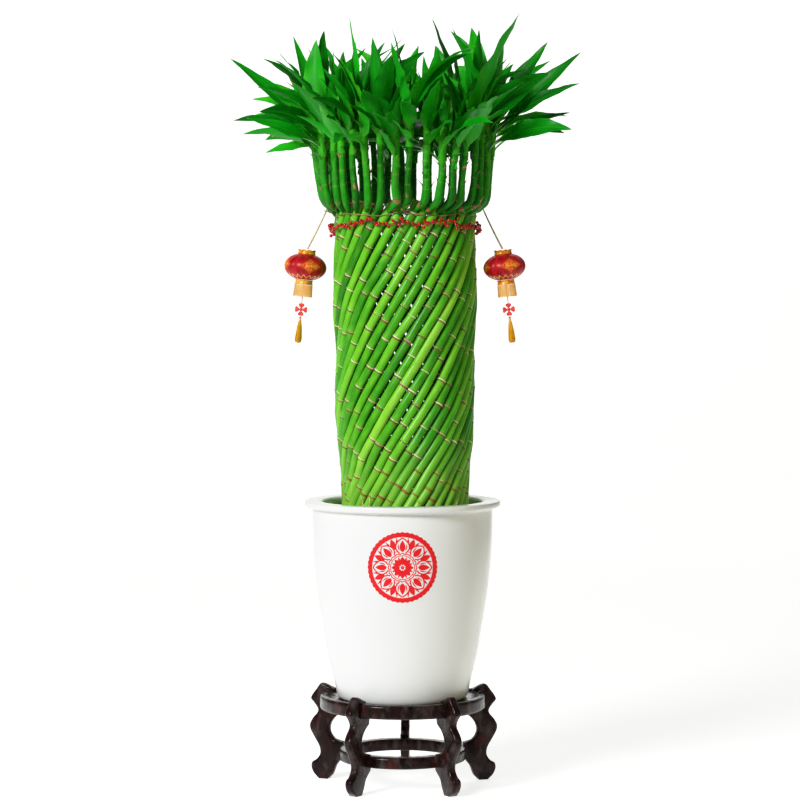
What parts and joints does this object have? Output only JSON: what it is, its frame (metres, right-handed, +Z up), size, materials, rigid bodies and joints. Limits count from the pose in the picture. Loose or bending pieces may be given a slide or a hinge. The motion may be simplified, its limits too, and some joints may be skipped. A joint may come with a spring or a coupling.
{
  "type": "potted lucky bamboo tower",
  "caption": "Lucky bamboo stalks twisted into an open cylinder with leafy shoots, in a tapered white pot on a legged stand, with a beaded tie and two lantern ornaments.",
  "frame": {"origin": "on the ground, on the axis of the pot and its stand", "axes": "+Z up the axis of the pot; -Y is the front, where the round ornament on the pot faces; +X is to the right seen from the front"},
  "size_m": [0.425, 0.4041, 0.938],
  "materials": {
    "stalk_green": "waxy live cane and leaf",
    "white_glaze": "glossy white glaze",
    "potting_mix": "dark bark and coir potting mix",
    "red_beads": "glossy beads on thin wire",
    "dark_lacquer": "glossy dark red-brown lacquer on wood",
    "tan_stick": "plain bamboo stick",
    "gold_foil": "gold foil paper and ribbon",
    "red_paper": "glossy red lantern paper",
    "red_thread": "red cord tied in a knot",
    "gold_thread": "gold silk tassel"
  },
  "bodies": {
    "root": {"stalk_01": "stalk_green", "stalk_02": "stalk_green", "stalk_03": "stalk_green", "stalk_04": "stalk_green", "stalk_05": "stalk_green", "stalk_06": "stalk_green", "stalk_07": "stalk_green", "stalk_08": "stalk_green", "stalk_09": "stalk_green", "stalk_10": "stalk_green", "stalk_11": "stalk_green", "stalk_12": "stalk_green", "stalk_13": "stalk_green", "stalk_14": "stalk_green", "stalk_15": "stalk_green", "stalk_16": "stalk_green", "stalk_17": "stalk_green", "stalk_18": "stalk_green", "stalk_19": "stalk_green", "stalk_20": "stalk_green", "stalk_21": "stalk_green", "stalk_22": "stalk_green", "stalk_23": "stalk_green", "stalk_24": "stalk_green", "stalk_25": "stalk_green", "stalk_26": "stalk_green", "stalk_27": "stalk_green", "stalk_28": "stalk_green", "stalk_29": "stalk_green", "stalk_30": "stalk_green", "stalk_31": "stalk_green", "stalk_32": "stalk_green", "stalk_33": "stalk_green", "stalk_34": "stalk_green", "stalk_35": "stalk_green", "stalk_36": "stalk_green", "pot": "white_glaze", "soil": "potting_mix", "tie": "red_beads", "stand_upper_ring": "dark_lacquer", "stand_lower_ring": "dark_lacquer", "stand_leg_1": "dark_lacquer", "stand_leg_2": "dark_lacquer", "stand_leg_3": "dark_lacquer", "stand_leg_4": "dark_lacquer", "stand_leg_5": "dark_lacquer", "lantern_left_body": "red_paper", "lantern_left_top_cap": "gold_foil", "lantern_left_bottom_cap": "gold_foil", "lantern_left_skirt": "gold_foil", "lantern_left_knot": "red_thread", "lantern_left_tassel": "gold_thread", "lantern_left_stick": "tan_stick", "lantern_right_body": "red_paper", "lantern_right_top_cap": "gold_foil", "lantern_right_bottom_cap": "gold_foil", "lantern_right_skirt": "gold_foil", "lantern_right_knot": "red_thread", "lantern_right_tassel": "gold_thread", "lantern_right_stick": "tan_stick"}
  },
  "joints": []
}
